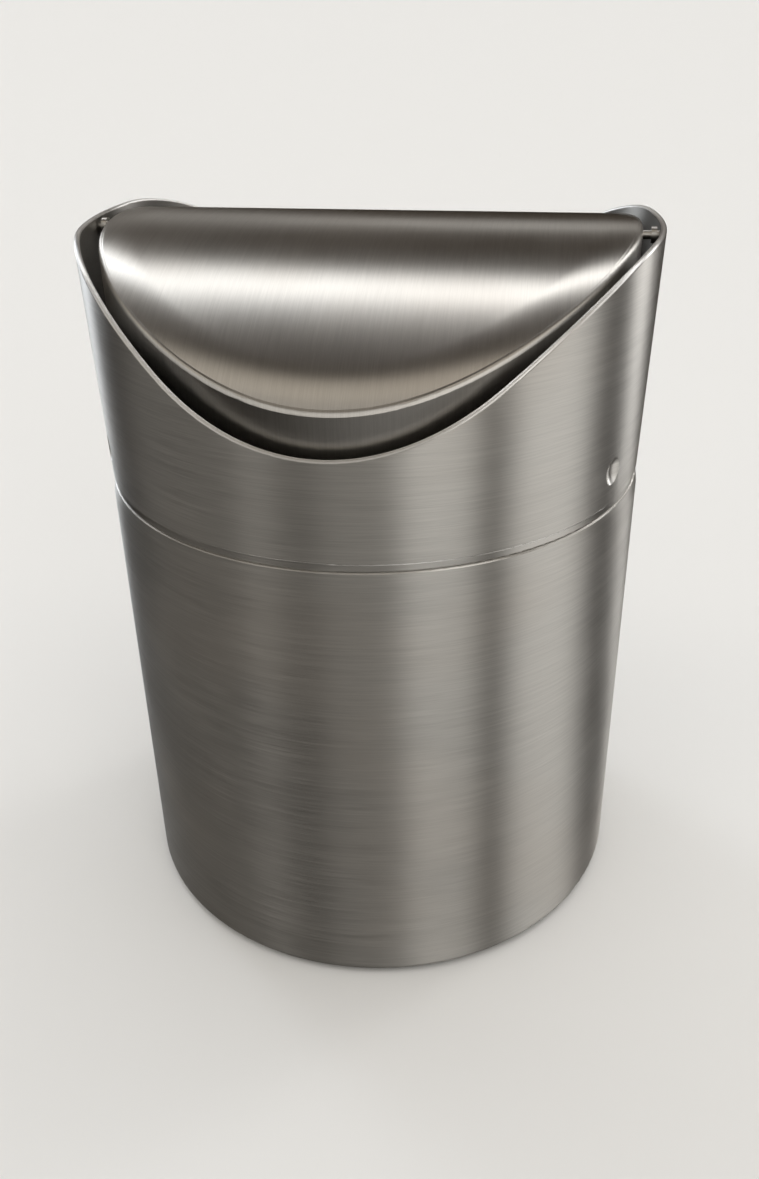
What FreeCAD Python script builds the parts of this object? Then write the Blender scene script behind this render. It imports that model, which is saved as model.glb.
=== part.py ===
import FreeCAD, Part
import math
import os
import Sketcher

# Table-top wastebasket with a swing lid, in millimetres.
# Origin: centre of the round footprint, on the surface it stands on.
# +Z up, +X along the lid's axle, -Y to the front.

SIZES = {
    # base
    "ring_height": 0.8,
    "ring_radius": 57.6,
    "ring_width": 2.2,
    "disc_thickness": 1.0,
    "disc_gap": 0.15,
    # can
    "can_radius": 60.0,
    "can_sheet": 0.8,
    "can_height": 106.6,
    "can_corner": 2.0,
    "can_flange": 4.0,
    "mouth_height": 3.2,
    "mouth_draw": 0.45,
    "mouth_round": 0.3,
    # neck ring
    "neck_sheet": 0.8,
    "sleeve_gap": 0.3,
    "sleeve_height": 12.0,
    "bead_radius": 59.35,
    "bead_height": 2.0,
    "bead_round": 0.4,
    "spigot_gap": 0.3,
    "spigot_depth": 11.5,
    # collar
    "collar_sheet": 1.2,
    "collar_radius": 59.7,
    "collar_height": 50.2,
    "collar_flare": 1.25,
    "trim_height": 4.0,
    "rim_flat": 14.3,
    "rim_bend": 46.9,
    "rim_slope": 51.5,
    "rim_round": 0.5,
    # dimples in the collar, and the dents that they leave in the neck ring
    "dimple_radius": 2.9,
    "dimple_depth": 0.9,
    "dimple_rise": 7.2,
    "dimple_angle": 27.0,
    "dent_gap": 0.15,
    # lid
    "lid_sheet": 0.8,
    "lid_radius": 56.3,
    "lid_rise": 0.3,
    "lid_bend": 82.0,
    "lid_slope": 41.0,
    "lid_edge": 1.1,
    "skirt_drop": 10.75,
    # axle pins and what is on them
    "axle_drop": 2.5,
    "pin_radius": 0.9,
    "pin_play": 0.05,
    "pin_length": 6.3,
    "weld_depth": 0.15,
    "spacer_radius": 1.7,
    "spacer_width": 1.1,
    "spacer_reach": 1.7,
    "nut_radius": 1.35,
    "nut_width": 0.5,
    "nut_gap": 0.4,
    # blocks that only cut
    "block_reach": 80.0,
}

FULL_TURN = 360.0
NEAR = 0.01
HANDS = {"left": -1, "right": 1}
SIDES = {"front": -1, "back": 1}

doc = FreeCAD.newDocument("wastebasket")


# ---------------------------------------------------------------- driving dimensions

sheet = doc.addObject("Spreadsheet::Sheet", "Sizes")
for row, (word, number) in enumerate(SIZES.items(), start=1):
    sheet.set(f"A{row}", word)
    sheet.set(f"B{row}", str(number))
    sheet.setAlias(f"B{row}", word)
doc.recompute()


class Size:
    """A dimension as a number and as the expression that binds it to the spreadsheet."""

    def __init__(self, value, text):
        self.value = value
        self.text = text

    @staticmethod
    def of(other):
        return other if isinstance(other, Size) else Size(float(other), str(float(other)))

    def joined(self, sign, value, other):
        return Size(value, f"({self.text} {sign} {other.text})")

    def __add__(self, other):
        other = Size.of(other)
        return self.joined("+", self.value + other.value, other)

    def __sub__(self, other):
        other = Size.of(other)
        return self.joined("-", self.value - other.value, other)

    def __mul__(self, other):
        other = Size.of(other)
        return self.joined("*", self.value * other.value, other)

    def __truediv__(self, other):
        other = Size.of(other)
        return self.joined("/", self.value / other.value, other)

    def __neg__(self):
        return Size(-self.value, f"(-{self.text})")


def cell(word):
    return Size(SIZES[word], f"Sizes.{word}")


def trig(function, word, share=1.0):
    """sin, cos or tan of a share of an angle that the spreadsheet holds in degrees."""
    value = getattr(math, function)(math.radians(SIZES[word] * share))
    return Size(value, f"{function}(Sizes.{word} * {share} * 1 deg)")


NOTHING = Size.of(0)

# Heights above the surface that the basket stands on.
can_foot = cell("ring_height")
can_mouth = can_foot + cell("can_height")
collar_foot = can_mouth + cell("bead_height")
rim_peak = collar_foot + cell("collar_height")
lid_ridge = rim_peak + cell("lid_rise")
axle_height = lid_ridge - cell("axle_drop")
dimple_height = collar_foot + cell("dimple_rise")

# Radii that follow from the driving ones.
can_bore = cell("can_radius") - cell("can_sheet")
mouth_radius = cell("can_radius") - cell("mouth_draw")
mouth_bore = mouth_radius - cell("can_sheet")
collar_bore = cell("collar_radius") - cell("collar_sheet")
flare_slope = cell("collar_flare") / cell("collar_height")
axle_bore = collar_bore + flare_slope * (axle_height - collar_foot)
spigot_radius = mouth_bore - cell("spigot_gap")
sleeve_radius = collar_bore - cell("sleeve_gap")
inner_corner = cell("can_corner") - cell("can_sheet")
pin_bore = cell("pin_radius") + cell("pin_play")

# The wall's radius behind a dimple, and the ball that presses it.
dimple_wall = cell("collar_radius") + flare_slope * cell("dimple_rise")
half_chord = cell("dimple_radius")
ball_radius = (half_chord * half_chord / cell("dimple_depth") + cell("dimple_depth")) / 2
ball_reach = dimple_wall + ball_radius - cell("dimple_depth")


# ---------------------------------------------------------------- ways of building

def origin_plane(body, role):
    return next(feature for feature in body.Origin.OriginFeatures if feature.Role == role)


def new_body(label):
    body = doc.addObject("PartDesign::Body", label)
    body.Label = label
    return body


def new_sketch(body, role, name):
    sketch = body.newObject("Sketcher::SketchObject", name)
    sketch.AttachmentSupport = (origin_plane(body, role), "")
    sketch.MapMode = "FlatFace"
    return sketch


def bind(feature, property_name, size):
    feature.setExpression(property_name, size.text)


def bind_place(feature, **places):
    for axis, size in places.items():
        bind(feature, f".Placement.Base.{axis}", size)


def hold_coordinate(sketch, index, kind, axis_line, size):
    """Holds the start of line number index at a signed distance from the sketch's origin."""
    if size.value == 0.0:
        sketch.addConstraint(Sketcher.Constraint("PointOnObject", index, 1, axis_line))
        return
    if size.value > 0.0:
        constraint = Sketcher.Constraint(kind, -1, 1, index, 1, size.value)
    else:
        size = -size
        constraint = Sketcher.Constraint(kind, index, 1, -1, 1, size.value)
    number = sketch.addConstraint(constraint)
    sketch.renameConstraint(number, f"{kind}{index}")
    bind(sketch, f"Constraints.{kind}{index}", size)


def closed_outline(sketch, corners):
    """Joins the corners with straight lines, each corner held by the spreadsheet."""
    points = [FreeCAD.Vector(across.value, up.value, 0) for across, up in corners]
    for index, start in enumerate(points):
        sketch.addGeometry(Part.LineSegment(start, points[(index + 1) % len(points)]), False)
    for index in range(len(points)):
        following = (index + 1) % len(points)
        sketch.addConstraint(Sketcher.Constraint("Coincident", index, 2, following, 1))
    for index, (across, up) in enumerate(corners):
        hold_coordinate(sketch, index, "DistanceX", -2, across)
        hold_coordinate(sketch, index, "DistanceY", -1, up)


def revolved_body(label, corners):
    """A body turned about the vertical axis from an outline of radius and height."""
    body = new_body(label)
    sketch = new_sketch(body, "XZ_Plane", f"{label}_section")
    closed_outline(sketch, corners)
    turned = body.newObject("PartDesign::Revolution", f"{label}_turned")
    turned.Profile = sketch
    turned.ReferenceAxis = (sketch, ["V_Axis"])
    turned.Angle = FULL_TURN
    doc.recompute()
    return body


def long_block(label, corners):
    """A prism along the axle's direction from an outline of depth and height."""
    body = new_body(label)
    sketch = new_sketch(body, "YZ_Plane", f"{label}_section")
    closed_outline(sketch, corners)
    pad = body.newObject("PartDesign::Pad", f"{label}_length")
    pad.Profile = sketch
    bind(pad, "Length", cell("block_reach") * 2)
    pad.SideType = "Symmetric"
    doc.recompute()
    return body


def round_edges(body, name, radius, chosen):
    """Fillets the body's edges that the test named chosen picks."""
    tip = body.Tip
    names = [f"Edge{number}" for number, edge in enumerate(tip.Shape.Edges, start=1) if chosen(edge)]
    fillet = body.newObject("PartDesign::Fillet", name)
    fillet.Base = (tip, names)
    bind(fillet, "Radius", radius)
    doc.recompute()


def circle_at(radius, height):
    """Picks the circles of a given radius and height about the vertical axis."""
    def chosen(edge):
        if not isinstance(edge.Curve, Part.Circle):
            return False
        same_radius = abs(edge.Curve.Radius - radius.value) < NEAR
        return same_radius and abs(edge.Curve.Center.z - height.value) < NEAR
    return chosen


def along_axle_at(depth, height):
    """Picks the straight edges along the axle's direction at plus or minus depth and at a height."""
    def chosen(edge):
        box = edge.BoundBox
        middle = edge.CenterOfMass
        if box.YLength + box.ZLength > NEAR:
            return False
        return abs(abs(middle.y) - depth.value) < NEAR and abs(middle.z - height.value) < NEAR
    return chosen


def above(height):
    """Picks the edges that lie wholly above a height."""
    def chosen(edge):
        return edge.BoundBox.ZMin > height.value
    return chosen


def boolean(kind, label, base, tool):
    result = doc.addObject(f"Part::{kind}", label)
    result.Base = base
    result.Tool = tool
    result.Label = label
    doc.recompute()
    return result


def cut(label, base, tool):
    return boolean("Cut", label, base, tool)


def common(label, base, tool):
    return boolean("Common", label, base, tool)


def fuse(label, shapes):
    result = doc.addObject("Part::MultiFuse", label)
    result.Shapes = shapes
    result.Label = label
    doc.recompute()
    return result


def body_on(label, shape):
    """A body that carries on from a boolean result, so that its edges can be rounded."""
    body = new_body(label)
    body.BaseFeature = shape
    doc.recompute()
    return body


def cylinder(label, radius, length):
    result = doc.addObject("Part::Cylinder", label)
    result.Label = label
    bind(result, "Radius", radius)
    bind(result, "Height", length)
    return result


def upright_cylinder(label, radius, low, high):
    result = cylinder(label, radius, high - low)
    bind_place(result, z=low)
    return result


def axle_cylinder(label, radius, start, length):
    """A cylinder on the axle's line, from start towards +X."""
    result = cylinder(label, radius, length)
    result.Placement.Rotation = FreeCAD.Rotation(FreeCAD.Vector(0, 1, 0), 90)
    bind_place(result, x=start, z=axle_height)
    return result


# ---------------------------------------------------------------- can

def build_can_shell():
    """Straight wall with a turned-in bottom edge and a slightly drawn-in mouth."""
    inner_foot = can_foot + cell("can_sheet")
    flange_radius = can_bore - cell("can_flange")
    draw_start = can_mouth - cell("mouth_height")
    body = revolved_body("can_shell", [
        (flange_radius, can_foot),
        (cell("can_radius"), can_foot),
        (cell("can_radius"), draw_start),
        (mouth_radius, can_mouth),
        (mouth_bore, can_mouth),
        (can_bore, draw_start),
        (can_bore, inner_foot),
        (flange_radius, inner_foot),
    ])
    round_edges(body, "can_corner_out", cell("can_corner"), circle_at(cell("can_radius"), can_foot))
    round_edges(body, "can_corner_in", inner_corner, circle_at(can_bore, inner_foot))
    round_edges(body, "can_mouth_edge", cell("mouth_round"), circle_at(mouth_radius, can_mouth))


def build_base_disc():
    """Flat bottom that sits inside on the turned-in edge, clear of the inner corner's bend."""
    radius = can_bore - inner_corner - cell("disc_gap")
    low = can_foot + cell("can_sheet")
    upright_cylinder("base_disc", radius, low, low + cell("disc_thickness"))


def build_base_ring():
    """Soft ring under the turned-in edge that the basket stands on."""
    ring_bore = cell("ring_radius") - cell("ring_width")
    revolved_body("base_ring", [
        (ring_bore, NOTHING),
        (cell("ring_radius"), NOTHING),
        (cell("ring_radius"), can_foot),
        (ring_bore, can_foot),
    ])


# ---------------------------------------------------------------- collar and neck ring

def dimple_balls(name, radius):
    """Four balls outside the collar's wall, whose caps are its dimples."""
    balls = []
    for hand_name, hand in HANDS.items():
        for side_name, side in SIDES.items():
            ball = doc.addObject("Part::Sphere", f"{name}_{side_name}_{hand_name}")
            ball.Label = ball.Name
            bind(ball, "Radius", radius)
            # the ball's seam faces the basket, so that it crosses the wall
            seam_turn = 90 * (1 + hand)
            ball.Placement.Rotation = FreeCAD.Rotation(FreeCAD.Vector(0, 0, 1), seam_turn)
            across = ball_reach * trig("cos", "dimple_angle") * hand
            along = ball_reach * trig("sin", "dimple_angle") * side
            bind_place(ball, x=across, y=along, z=dimple_height)
            balls.append(ball)
    return fuse(name, balls)


def dimpled(label, ring, hollow_radius, thickness, middle_radius, low, high):
    """Presses the dimples into a thin ring: bumps on its inside, then hollows of the given ball's radius."""
    inside = upright_cylinder(f"{label}_inside", middle_radius, low, high)
    bumps = common(f"{label}_bumps", dimple_balls(f"{label}_bump_balls", hollow_radius + thickness), inside)
    bumped = fuse(f"{label}_bumped", [ring, bumps])
    return cut(f"{label}_dimpled", bumped, dimple_balls(f"{label}_hollow_balls", hollow_radius))


def build_rim_trim():
    """What is cut from the collar to leave its saddle: level over the axle, falling to the front and back."""
    corner = cell("rim_flat") + cell("rim_bend") * trig("tan", "rim_slope", 0.5)
    reach = cell("block_reach")
    far_height = rim_peak - (reach - corner) * trig("tan", "rim_slope")
    top = rim_peak + reach
    trim = long_block("rim_trim", [
        (-reach, far_height),
        (-corner, rim_peak),
        (corner, rim_peak),
        (reach, far_height),
        (reach, top),
        (-reach, top),
    ])
    round_edges(trim, "rim_trim_bend", cell("rim_bend"), along_axle_at(corner, rim_peak))
    return trim


def build_wall_surface():
    """The collar's flared outer surface, as a slanting line turned about the vertical axis."""
    top = rim_peak + cell("trim_height")
    line = doc.addObject("Part::Line", "collar_slant")
    bind(line, "X1", cell("collar_radius"))
    bind(line, "Z1", collar_foot)
    bind(line, "X2", cell("collar_radius") + flare_slope * (top - collar_foot))
    bind(line, "Z2", top)
    line.Y1 = 0
    line.Y2 = 0
    surface = doc.addObject("Part::Revolution", "collar_surface")
    surface.Source = line
    surface.Axis = FreeCAD.Vector(0, 0, 1)
    surface.Angle = FULL_TURN
    surface.Solid = False
    doc.recompute()
    return surface


def build_collar():
    """Flared wall with four dimples and a saddle-shaped rim that is square to the wall."""
    saddle = cut("collar_saddle", build_wall_surface(), build_rim_trim())
    wall = doc.addObject("Part::Offset", "collar_wall")
    wall.Source = saddle
    wall.Fill = True
    bind(wall, "Value", -cell("collar_sheet"))
    doc.recompute()
    middle = dimple_wall - cell("collar_sheet") / 2
    pressed = dimpled("collar_wall", wall, ball_radius, cell("collar_sheet"), middle, collar_foot, rim_peak)
    body = body_on("collar", pressed)
    round_edges(body, "collar_rim_edges", cell("rim_round"), above(dimple_height + cell("dimple_radius") * 2))


def build_neck_ring():
    """Ring that joins collar and can: sleeve inside the collar, bead in the groove, spigot in the can."""
    sleeve_top = collar_foot + cell("sleeve_height")
    spigot_foot = can_mouth - cell("spigot_depth")
    sleeve_bore = sleeve_radius - cell("neck_sheet")
    spigot_bore = spigot_radius - cell("neck_sheet")
    ring = revolved_body("neck_wall", [
        (sleeve_bore, sleeve_top),
        (sleeve_bore, collar_foot),
        (spigot_bore, can_mouth),
        (spigot_bore, spigot_foot),
        (spigot_radius, spigot_foot),
        (spigot_radius, can_mouth),
        (cell("bead_radius"), can_mouth),
        (cell("bead_radius"), collar_foot),
        (sleeve_radius, collar_foot),
        (sleeve_radius, sleeve_top),
    ])
    for name, height in (("bead_low_edge", can_mouth), ("bead_high_edge", collar_foot)):
        round_edges(ring, name, cell("bead_round"), circle_at(cell("bead_radius"), height))
    hollow_radius = ball_radius + cell("collar_sheet") + cell("dent_gap")
    middle = sleeve_radius - cell("neck_sheet") / 2
    pressed = dimpled("neck_wall", ring, hollow_radius, cell("neck_sheet"), middle, collar_foot, sleeve_top)
    pressed.Label = "neck_ring"


# ---------------------------------------------------------------- axle pins

def on_axle(name, hand_name, radius, start, length):
    """A cylinder on the axle's line; start is its near end's distance from the middle."""
    near_end = start if HANDS[hand_name] > 0 else -(start + length)
    return axle_cylinder(f"{name}_{hand_name}", radius, near_end, length)


def axle_ring(name, hand_name, radius, start, width):
    """A ring that sits on the pin with the pin's play."""
    disc = on_axle(f"{name}_disc", hand_name, radius, start, width)
    bore = on_axle(f"{name}_bore", hand_name, pin_bore, start - width, width * 3)
    cut(f"{name}_{hand_name}", disc, bore)


def build_axle_side(hand_name):
    """Pin welded to the collar's wall, the spacer outside the lid's skirt and the clip inside it."""
    pin_end = axle_bore + cell("weld_depth")
    on_axle("pivot_pin", hand_name, cell("pin_radius"), pin_end - cell("pin_length"), cell("pin_length"))
    spacer_start = cell("lid_radius") + cell("spacer_reach")
    axle_ring("spacer", hand_name, cell("spacer_radius"), spacer_start, cell("spacer_width"))
    nut_end = cell("lid_radius") - cell("lid_sheet") - cell("nut_gap")
    axle_ring("push_nut", hand_name, cell("nut_radius"), nut_end - cell("nut_width"), cell("nut_width"))


# ---------------------------------------------------------------- lid

def arched_block(label, drop, bend):
    """Everything under the lid's arch lowered by drop, its top bent to the radius bend."""
    apex = lid_ridge - drop + bend / trig("cos", "lid_slope") - bend
    reach = cell("block_reach")
    shoulder = apex - reach * trig("tan", "lid_slope")
    block = long_block(label, [
        (-reach, -reach),
        (reach, -reach),
        (reach, shoulder),
        (NOTHING, apex),
        (-reach, shoulder),
    ])
    round_edges(block, f"{label}_bend", bend, along_axle_at(NOTHING, apex))
    return block


def domed_block(label, inset):
    """The lid's outside, inset on every face: an upright cylinder under the arch, its top edge rounded."""
    arch = arched_block(f"{label}_arch", inset, cell("lid_bend") - inset)
    column = upright_cylinder(f"{label}_column", cell("lid_radius") - inset, collar_foot, lid_ridge + inset)
    block = body_on(label, common(f"{label}_blank", arch, column))
    round_edges(block, f"{label}_edge", cell("lid_edge") - inset, above(collar_foot + cell("lid_edge")))
    return block


def build_lid():
    """Pressed lid: one arch from front to back, a rounded edge and a skirt that follows the arch."""
    outside = domed_block("lid_outside", NOTHING)
    inside = domed_block("lid_inside", cell("lid_sheet"))
    shell = cut("lid_shell", outside, inside)
    skirt = cut("lid_skirt", shell, arched_block("lid_below", cell("skirt_drop"), cell("lid_bend")))
    holes = axle_cylinder("lid_holes", pin_bore, -cell("block_reach"), cell("block_reach") * 2)
    cut("swing_lid", skirt, holes)


# ---------------------------------------------------------------- build, check and write

NODES = ["can_shell", "base_disc", "base_ring", "collar", "neck_ring", "swing_lid"]
NODES += [f"{name}_{hand_name}" for name in ("pivot_pin", "spacer", "push_nut") for hand_name in HANDS]


def check_and_write():
    doc.recompute()
    for thing in doc.Objects:
        faults = {"Invalid", "Error"} & set(thing.State)
        if faults:
            raise RuntimeError(f"{thing.Label}: {sorted(faults)}")
    os.makedirs("parts", exist_ok=True)
    for label in NODES:
        shape = doc.getObjectsByLabel(label)[0].Shape
        if shape.isNull() or not shape.isValid():
            raise RuntimeError(f"{label}: bad shape")
        shape.exportStep(f"parts/{label}.step")


build_can_shell()
build_base_disc()
build_base_ring()
build_collar()
build_neck_ring()
for hand_name in HANDS:
    build_axle_side(hand_name)
build_lid()
check_and_write()
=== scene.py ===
import math

import bpy
from mathutils import Matrix, Vector

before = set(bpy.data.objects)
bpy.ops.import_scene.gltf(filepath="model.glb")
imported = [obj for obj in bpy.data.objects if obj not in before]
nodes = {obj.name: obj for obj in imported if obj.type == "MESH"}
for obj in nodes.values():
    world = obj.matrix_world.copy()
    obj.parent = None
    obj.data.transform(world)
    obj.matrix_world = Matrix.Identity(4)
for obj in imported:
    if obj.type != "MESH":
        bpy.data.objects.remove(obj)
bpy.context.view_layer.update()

mm = 0.001

# Camera: azimuth from straight in front (-Y) towards +X, distance from the basket's centre line, height above
# the floor, and how far it is turned from facing that line. The lens is in mm over the frame's long side.
CAMERA_AZIMUTH = math.radians(9.78)
CAMERA_DISTANCE = 243.6 * mm
CAMERA_HEIGHT = 210.1 * mm
CAMERA_TURN = math.radians(-0.10)
CAMERA_PITCH = math.radians(29.96)
CAMERA_ROLL = math.radians(-1.18)
LENS = 34.31
LONG_SIDE = 36.0
CLIP_START = 10 * mm


# ---------------------------------------------------------------- node helpers

class Tree:
    """Short ways to add and join shader nodes."""

    def __init__(self, tree):
        self.tree = tree
        tree.nodes.clear()

    def add(self, kind, inputs=None, **settings):
        made = self.tree.nodes.new(kind)
        for name, value in settings.items():
            setattr(made, name, value)
        for name, value in (inputs or {}).items():
            self.feed(made.inputs[name], value)
        return made

    def feed(self, socket, value):
        if isinstance(value, bpy.types.NodeSocket):
            self.tree.links.new(value, socket)
        else:
            socket.default_value = value

    def math(self, operation, *values):
        return self.add("ShaderNodeMath", dict(enumerate(values)), operation=operation).outputs[0]

    def remap(self, value, low, high, to_low=0.0, to_high=1.0, smooth=True):
        inputs = {"Value": value, "From Min": low, "From Max": high, "To Min": to_low, "To Max": to_high}
        kind = "SMOOTHSTEP" if smooth else "LINEAR"
        return self.add("ShaderNodeMapRange", inputs, interpolation_type=kind).outputs[0]

    def noise(self, place, scale, detail=2.0, roughness=0.5):
        inputs = {"Vector": place, "Scale": scale, "Detail": detail, "Roughness": roughness}
        return self.add("ShaderNodeTexNoise", inputs).outputs["Fac"]

    def stretched(self, place, scale):
        return self.add("ShaderNodeMapping", {"Vector": place, "Scale": scale}).outputs[0]

    def mix(self, share, first, second):
        made = self.add("ShaderNodeMix", data_type="RGBA")
        self.feed(made.inputs[0], share)
        self.feed(made.inputs[6], first)
        self.feed(made.inputs[7], second)
        return made.outputs[2]


# ---------------------------------------------------------------- studio

# Upright strip lights round the basket: azimuth, half-width and softness in degrees, the height (Z) of the
# directions where the light starts, strength, colour.
STRIPS = [
    (-132.0, 2.0, 9.0, -0.2, 3.0, (0.90, 0.95, 1.0)),
    (-20.0, 66.0, 24.0, -0.1, 0.45, (1.0, 0.98, 0.93)),
    (-38.0, 3.0, 9.0, -0.1, 0.45, (1.0, 0.97, 0.92)),
    (6.0, 12.0, 14.0, -0.6, 0.16, (1.0, 0.97, 0.92)),
    (35.0, 8.0, 13.0, -0.25, 1.35, (1.0, 0.985, 0.95)),
    (85.0, 12.0, 15.0, -0.65, 0.96, (1.0, 0.985, 0.95)),
    (134.0, 2.0, 9.0, -0.2, 2.8, (1.0, 0.99, 0.97)),
]
# Strips overhead that run along the axle: angle over the top from the front, half-width and softness in
# degrees, strength, colour.
OVERHEAD = [
    (121.0, 2.2, 6.5, 2.55, (1.0, 0.995, 0.985)),
    (162.0, 1.5, 5.0, 0.56, (1.0, 0.98, 0.94)),
    (67.0, 5.0, 9.0, 0.52, (1.0, 0.91, 0.78)),
]
AMBIENT = (0.034, 0.023, 0.014)
# How bright the room is below the horizon, as a share of what it is above, and the heights (Z) of the
# directions between which it changes.
FLOOR_SHARE = 0.25
HORIZON = (-0.25, 0.15)
# How softly an upright strip starts, and the heights between which it fades out overhead.
FOOT_SOFTNESS = 0.15
STRIP_TOP = (0.55, 0.85)
# How far sideways (X) the directions point where an overhead strip fades out.
STRIP_END = (0.75, 0.95)
BACKGROUND = (0.86, 0.86, 0.84)
LAMP_POWER = 1.35
LAMP_SPREAD = math.radians(80.0)
FLOOR_HALF = 20.0
FLOOR_COLOUR = (0.80, 0.80, 0.79, 1.0)
FLOOR_ROUGHNESS = 0.9


def band(tree, angle, centre, half_width, softness):
    """1 inside a band of angles, falling softly to 0 outside it."""
    away = tree.math("SUBTRACT", angle, math.radians(centre))
    wrapped = tree.math("WRAP", away, math.pi, -math.pi)
    distance = tree.math("ABSOLUTE", wrapped)
    edge = math.radians(half_width)
    return tree.remap(distance, edge, edge + math.radians(softness), 1.0, 0.0)


def add_light(tree, light, shape, limit, strength, colour):
    """The light so far plus a strip of the given shape, where limit lets it be."""
    amount = tree.math("MULTIPLY", tree.math("MULTIPLY", shape, limit), strength)
    glow = tree.add("ShaderNodeVectorMath", {0: colour}, operation="SCALE")
    tree.feed(glow.inputs["Scale"], amount)
    return tree.add("ShaderNodeVectorMath", {0: light, 1: glow.outputs[0]}, operation="ADD").outputs[0]


def studio():
    """A dim room with soft strip lights; the camera itself sees a plain pale backdrop."""
    world = bpy.data.worlds.new("studio")
    bpy.context.scene.world = world
    world.use_nodes = True
    tree = Tree(world.node_tree)
    direction = tree.add("ShaderNodeTexCoord").outputs["Generated"]
    parts = tree.add("ShaderNodeSeparateXYZ", {"Vector": direction}).outputs
    front = tree.math("MULTIPLY", parts["Y"], -1.0)
    azimuth = tree.math("ARCTAN2", parts["X"], front)
    over_top = tree.math("ARCTAN2", parts["Z"], front)
    sideways = tree.math("ABSOLUTE", parts["X"])
    above_floor = tree.remap(parts["Z"], *HORIZON, FLOOR_SHARE, 1.0)
    dim = tree.add("ShaderNodeVectorMath", {0: AMBIENT}, operation="SCALE")
    tree.feed(dim.inputs["Scale"], above_floor)
    light = dim.outputs[0]
    low = tree.remap(parts["Z"], *STRIP_TOP, 1.0, 0.0)
    for centre, half_width, softness, foot, strength, colour in STRIPS:
        above_foot = tree.remap(parts["Z"], foot - FOOT_SOFTNESS, foot + FOOT_SOFTNESS)
        risen = tree.math("MULTIPLY", above_foot, low)
        shape = band(tree, azimuth, centre, half_width, softness)
        light = add_light(tree, light, shape, risen, strength, colour)
    reach = tree.remap(sideways, *STRIP_END, 1.0, 0.0)
    for centre, half_width, softness, strength, colour in OVERHEAD:
        shape = band(tree, over_top, centre, half_width, softness)
        light = add_light(tree, light, shape, reach, strength, colour)
    seen = tree.add("ShaderNodeLightPath").outputs["Is Camera Ray"]
    colour = tree.mix(seen, light, (*BACKGROUND, 1.0))
    shade = tree.add("ShaderNodeBackground", {"Color": colour, "Strength": 1.0})
    tree.add("ShaderNodeOutputWorld", {"Surface": shade.outputs[0]})


def floor():
    """Plain pale floor, which the metal doesn't mirror."""
    half = FLOOR_HALF
    corners = [(-half, -half, 0.0), (half, -half, 0.0), (half, half, 0.0), (-half, half, 0.0)]
    mesh = bpy.data.meshes.new("floor")
    mesh.from_pydata(corners, [], [(0, 1, 2, 3)])
    plane = bpy.data.objects.new("floor", mesh)
    bpy.context.scene.collection.objects.link(plane)
    material = bpy.data.materials.new("floor")
    material.use_nodes = True
    shader = material.node_tree.nodes["Principled BSDF"]
    shader.inputs["Base Color"].default_value = FLOOR_COLOUR
    shader.inputs["Roughness"].default_value = FLOOR_ROUGHNESS
    mesh.materials.append(material)
    plane.visible_glossy = False


def floor_lamp():
    """A broad soft lamp overhead that whitens the floor and its shadow; the metal doesn't mirror it."""
    data = bpy.data.lights.new("floor_lamp", "SUN")
    data.energy = LAMP_POWER
    data.angle = LAMP_SPREAD
    lamp = bpy.data.objects.new("floor_lamp", data)
    lamp.visible_glossy = False
    bpy.context.scene.collection.objects.link(lamp)


def camera():
    """The camera, where the photograph was taken from."""
    data = bpy.data.cameras.new("camera")
    data.lens = LENS
    data.sensor_width = LONG_SIDE
    data.clip_start = CLIP_START
    viewer = bpy.data.objects.new("camera", data)
    bpy.context.scene.collection.objects.link(viewer)
    along_x = math.sin(CAMERA_AZIMUTH) * CAMERA_DISTANCE
    along_y = -math.cos(CAMERA_AZIMUTH) * CAMERA_DISTANCE
    place = Vector((along_x, along_y, CAMERA_HEIGHT))
    heading = Matrix.Rotation(CAMERA_AZIMUTH + CAMERA_TURN, 4, "Z")
    tilt = Matrix.Rotation(math.pi / 2 - CAMERA_PITCH, 4, "X")
    roll = Matrix.Rotation(CAMERA_ROLL, 4, "Z")
    viewer.matrix_world = Matrix.Translation(place) @ heading @ tilt @ roll
    bpy.context.scene.camera = viewer


# ---------------------------------------------------------------- materials

STEEL = (0.64, 0.625, 0.595)
WARM_STEEL = (0.60, 0.54, 0.48, 1.0)
# Painted shade: the darker colour given to faces that look in at the centre line, for the shade inside the
# basket.
PAINTED_INNER_SHADE = (0.26, 0.25, 0.235, 1.0)
# Partly polish, partly a painted highlight: the near-white colour of rim faces that look up.
POLISH_AND_HIGHLIGHT = (0.98, 0.97, 0.95, 1.0)
EDGE_ROUGHNESS = 0.40
# The strokes: noise scales along X, Y and Z, high across a stroke and low along it.
ROUND_BRUSH = (90.0, 90.0, 4500.0)
LONG_BRUSH = (4500.0, 130.0, 130.0)
STROKE_TURN = 0.25
COARSER = 0.3
FINE_SHARE = 0.7
COARSE_SHARE = 0.3
# The noise values between which streaks and clouds go from none to all of what they change.
NOISE_SPAN = (0.3, 0.7)
STREAK_ROUGHNESS = 0.03
CLOUD_SCALE = 45.0
CLOUD_ROUGHNESS = 0.02
# Warm brownish blotches at random over the steel: their noise scale, the noise values between which they come
# in, and how much of WARM_STEEL they mix in.
BLOTCH_SCALE = 22.0
BLOTCH_SPAN = (0.45, 0.70)
BLOTCH_SHARE = 0.22
LIGHTER = 0.06
DARKER = 0.10
STROKE_DEPTH = 0.02 * mm
STROKE_STRENGTH = 0.15
# How far a face looks in at the centre line (cosine) where the painted shade inside the basket starts, and
# where it is full.
INNER_SHADE_SPAN = (-0.3, -0.6)
# How steep a direction (Z) may be to count as an upright wall's, and where it no longer does.
LEANING = (0.16, 0.30)
# The lid's roll-off: from where to where along its radius, and how far down.
ROLL_START = 48.5 * mm
ROLL_END = 55.5 * mm
ROLL_DROP = 0.9 * mm
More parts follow.
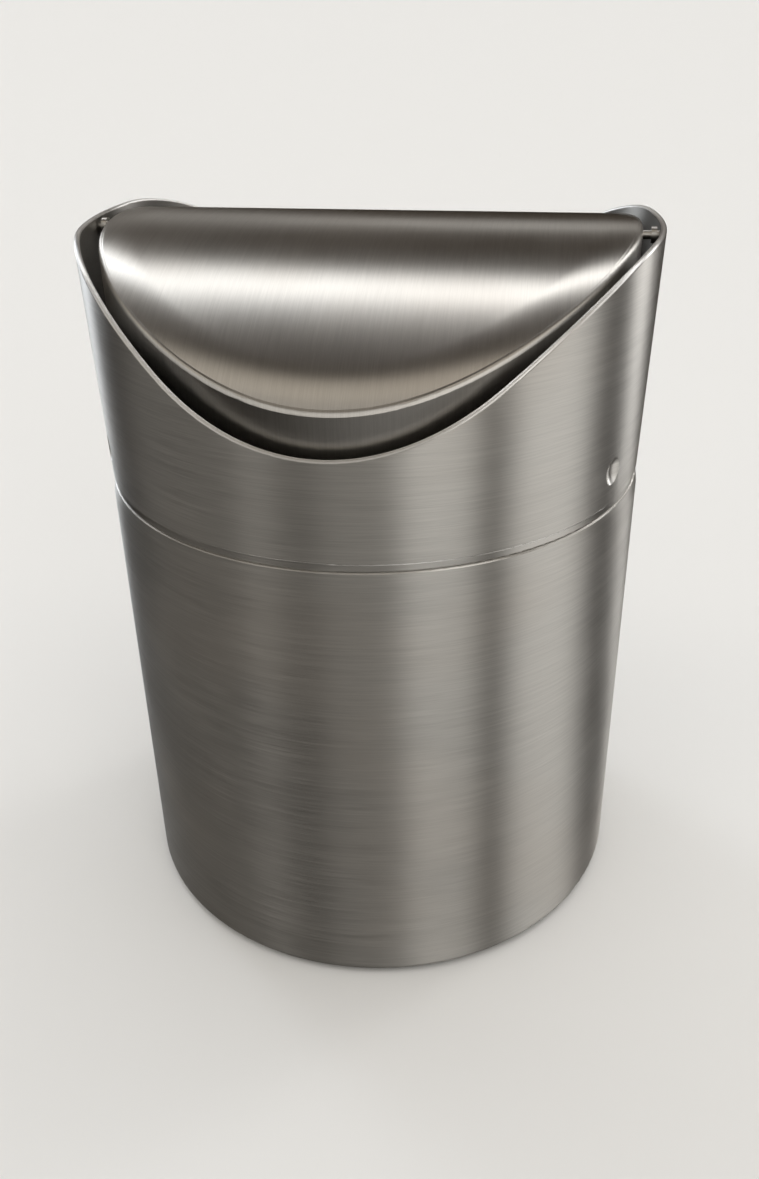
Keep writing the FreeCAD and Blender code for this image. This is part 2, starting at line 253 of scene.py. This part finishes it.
# The heights that a face's direction has where it counts as a polished edge, whose near-white colour is
# partly a painted highlight on faces that look up: rising to it, leaving it.
RIM_EDGE = (0.2, 0.5, 2.0, 3.0)
NO_EDGE = (2.0, 3.0, 4.0, 5.0)
# Black rubber of the base ring.
RUBBER_DARK = (0.010, 0.010, 0.011, 1.0)
RUBBER_LIGHT = (0.024, 0.024, 0.025, 1.0)
RUBBER_GRAIN = 2500.0
RUBBER_DEPTH = 0.05 * mm


def flattened(tree, vector):
    """The vector with no height."""
    return tree.add("ShaderNodeVectorMath", {0: vector, 1: (1.0, 1.0, 0.0)}, operation="MULTIPLY").outputs[0]


def rolled_normal(tree, place):
    """The lid's direction, rolling off softly over its last millimetres, as pressed sheet does."""
    flat = flattened(tree, place)
    radius = tree.add("ShaderNodeVectorMath", {0: flat}, operation="LENGTH").outputs["Value"]
    share = tree.remap(radius, ROLL_START, ROLL_END, smooth=False)
    height = tree.math("MULTIPLY", tree.math("MULTIPLY", share, share), -ROLL_DROP)
    return tree.add("ShaderNodeBump", {"Height": height, "Strength": 1.0, "Distance": 1.0}).outputs[0]


def painted_inner_shade(tree, place):
    """1 on the faces that look in at the basket's centre line, which get painted shade: their colour is
    darkened to stand in for the shade inside the basket.
    """
    direction = tree.add("ShaderNodeTexCoord").outputs["Normal"]
    outwards = tree.add("ShaderNodeVectorMath", {0: flattened(tree, place)}, operation="NORMALIZE").outputs[0]
    towards = tree.add("ShaderNodeVectorMath", {0: outwards, 1: direction}, operation="DOT_PRODUCT")
    return tree.remap(towards.outputs["Value"], *INNER_SHADE_SPAN)


def level_normal(tree):
    """The surface's direction, made level where a wall leans a little, so that its sheen runs on unbroken."""
    direction = tree.add("ShaderNodeNewGeometry").outputs["Normal"]
    level = flattened(tree, direction)
    height = tree.add("ShaderNodeSeparateXYZ", {"Vector": direction}).outputs["Z"]
    share = tree.remap(tree.math("ABSOLUTE", height), *LEANING)
    made = tree.add("ShaderNodeMix", data_type="VECTOR")
    tree.feed(made.inputs[0], share)
    tree.feed(made.inputs[4], level)
    tree.feed(made.inputs[5], direction)
    return tree.add("ShaderNodeVectorMath", {0: made.outputs[1]}, operation="NORMALIZE").outputs[0]


def brushed_steel(name, brush, axis, edge, roughness=0.40, anisotropy=0.93, contrast=1.0):
    """Steel brushed one way: fine streaks that the light spreads across, and upward faces of edges polished
    bright, partly a painted highlight.

    brush is one of the stroke scales, and axis is what the strokes go round: Z on the walls, which also get a
    level direction and insides painted darker as shade, and X on the lid and pins, which get the lid's
    roll-off. edge is RIM_EDGE or NO_EDGE."""
    material = bpy.data.materials.new(name)
    material.use_nodes = True
    tree = Tree(material.node_tree)
    place = tree.add("ShaderNodeTexCoord").outputs["Object"]
    fine = tree.noise(tree.stretched(place, brush), 1.0, 3.0, 0.6)
    coarse = tree.noise(tree.stretched(place, [value * COARSER for value in brush]), 1.0, 2.0, 0.5)
    cloud = tree.noise(place, CLOUD_SCALE, 3.0, 0.55)
    streaks = tree.math("ADD", tree.math("MULTIPLY", fine, FINE_SHARE),
                        tree.math("MULTIPLY", coarse, COARSE_SHARE))
    change = STREAK_ROUGHNESS * contrast
    dull = tree.remap(streaks, *NOISE_SPAN, -change, change, smooth=False)
    cloudy = tree.remap(cloud, *NOISE_SPAN, -CLOUD_ROUGHNESS, CLOUD_ROUGHNESS, smooth=False)
    rough = tree.math("ADD", tree.math("ADD", dull, cloudy), roughness)
    # Warm brownish blotches at random, mixed into the steel's colour.
    warm_blotches = tree.remap(tree.noise(place, BLOTCH_SCALE, 2.0, 0.5), *BLOTCH_SPAN, 0.0, BLOTCH_SHARE)
    light = tuple(value * (1.0 + LIGHTER * contrast) for value in STEEL)
    dark = tuple(value * (1.0 - DARKER * contrast) for value in STEEL)
    colour = tree.mix(tree.remap(streaks, *NOISE_SPAN), (*dark, 1.0), (*light, 1.0))
    colour = tree.mix(warm_blotches, colour, WARM_STEEL)
    direction = tree.add("ShaderNodeTexCoord").outputs["Normal"]
    upwards = tree.add("ShaderNodeSeparateXYZ", {"Vector": direction}).outputs["Z"]
    # Faces that look up on the rims get a near-white colour: partly polish, partly a painted highlight.
    rising = tree.remap(upwards, *edge[:2])
    leaving = tree.remap(upwards, *edge[2:])
    polish_and_highlight = tree.math("MULTIPLY", rising, tree.math("SUBTRACT", 1.0, leaving))
    brushed = tree.math("SUBTRACT", 1.0, polish_and_highlight)
    bump = tree.add("ShaderNodeBump", {"Height": streaks, "Distance": STROKE_DEPTH})
    tree.feed(bump.inputs["Strength"], tree.math("MULTIPLY", brushed, STROKE_STRENGTH * contrast))
    if axis == "X":
        tree.feed(bump.inputs["Normal"], rolled_normal(tree, place))
    if axis == "Z":
        tree.feed(bump.inputs["Normal"], level_normal(tree))
        # Painted shade: faces that look in at the centre line are darkened, for the shade inside the basket.
        colour = tree.mix(painted_inner_shade(tree, place), colour, PAINTED_INNER_SHADE)
    tangent = tree.add("ShaderNodeTangent", direction_type="RADIAL", axis=axis)
    varied = tree.math("MULTIPLY", tree.math("SUBTRACT", rough, EDGE_ROUGHNESS), brushed)
    smooth = tree.math("ADD", varied, EDGE_ROUGHNESS)
    shader = tree.add("ShaderNodeBsdfPrincipled", {
        "Base Color": tree.mix(polish_and_highlight, colour, POLISH_AND_HIGHLIGHT), "Metallic": 1.0,
        "Roughness": smooth, "Anisotropic": anisotropy, "Anisotropic Rotation": STROKE_TURN,
        "Normal": bump.outputs[0], "Tangent": tangent.outputs[0],
    })
    tree.add("ShaderNodeOutputMaterial", {"Surface": shader.outputs[0]})
    return material


def dress(material, *names):
    """Gives the named pieces one material."""
    for name in names:
        slots = nodes[name].data.materials
        slots.clear()
        slots.append(material)


def materials():
    """Brushed steel on every metal piece and black rubber under the can."""
    dress(brushed_steel("can_steel", ROUND_BRUSH, "Z", NO_EDGE), "can_shell", "base_disc")
    dress(brushed_steel("collar_steel", ROUND_BRUSH, "Z", RIM_EDGE), "collar")
    dress(brushed_steel("neck_steel", ROUND_BRUSH, "Z", RIM_EDGE, 0.35), "neck_ring")
    dress(brushed_steel("lid_steel", LONG_BRUSH, "X", NO_EDGE, 0.36, contrast=0.8), "swing_lid")
    pins = [name for name in nodes if name.startswith(("pivot_pin", "spacer", "push_nut"))]
    dress(brushed_steel("pin_steel", LONG_BRUSH, "X", NO_EDGE, 0.3, 0.3), *pins)
    rubber = bpy.data.materials.new("ring_rubber")
    rubber.use_nodes = True
    tree = Tree(rubber.node_tree)
    place = tree.add("ShaderNodeTexCoord").outputs["Object"]
    grain = tree.noise(place, RUBBER_GRAIN, 2.0)
    colour = tree.mix(grain, RUBBER_DARK, RUBBER_LIGHT)
    bump = tree.add("ShaderNodeBump", {"Height": grain, "Strength": 0.3, "Distance": RUBBER_DEPTH})
    shader = tree.add("ShaderNodeBsdfPrincipled", {"Base Color": colour, "Roughness": 0.75,
                                                   "Normal": bump.outputs[0]})
    tree.add("ShaderNodeOutputMaterial", {"Surface": shader.outputs[0]})
    dress(rubber, "base_ring")


camera()
studio()
floor()
floor_lamp()
materials()
bpy.context.scene.view_settings.view_transform = "Standard"
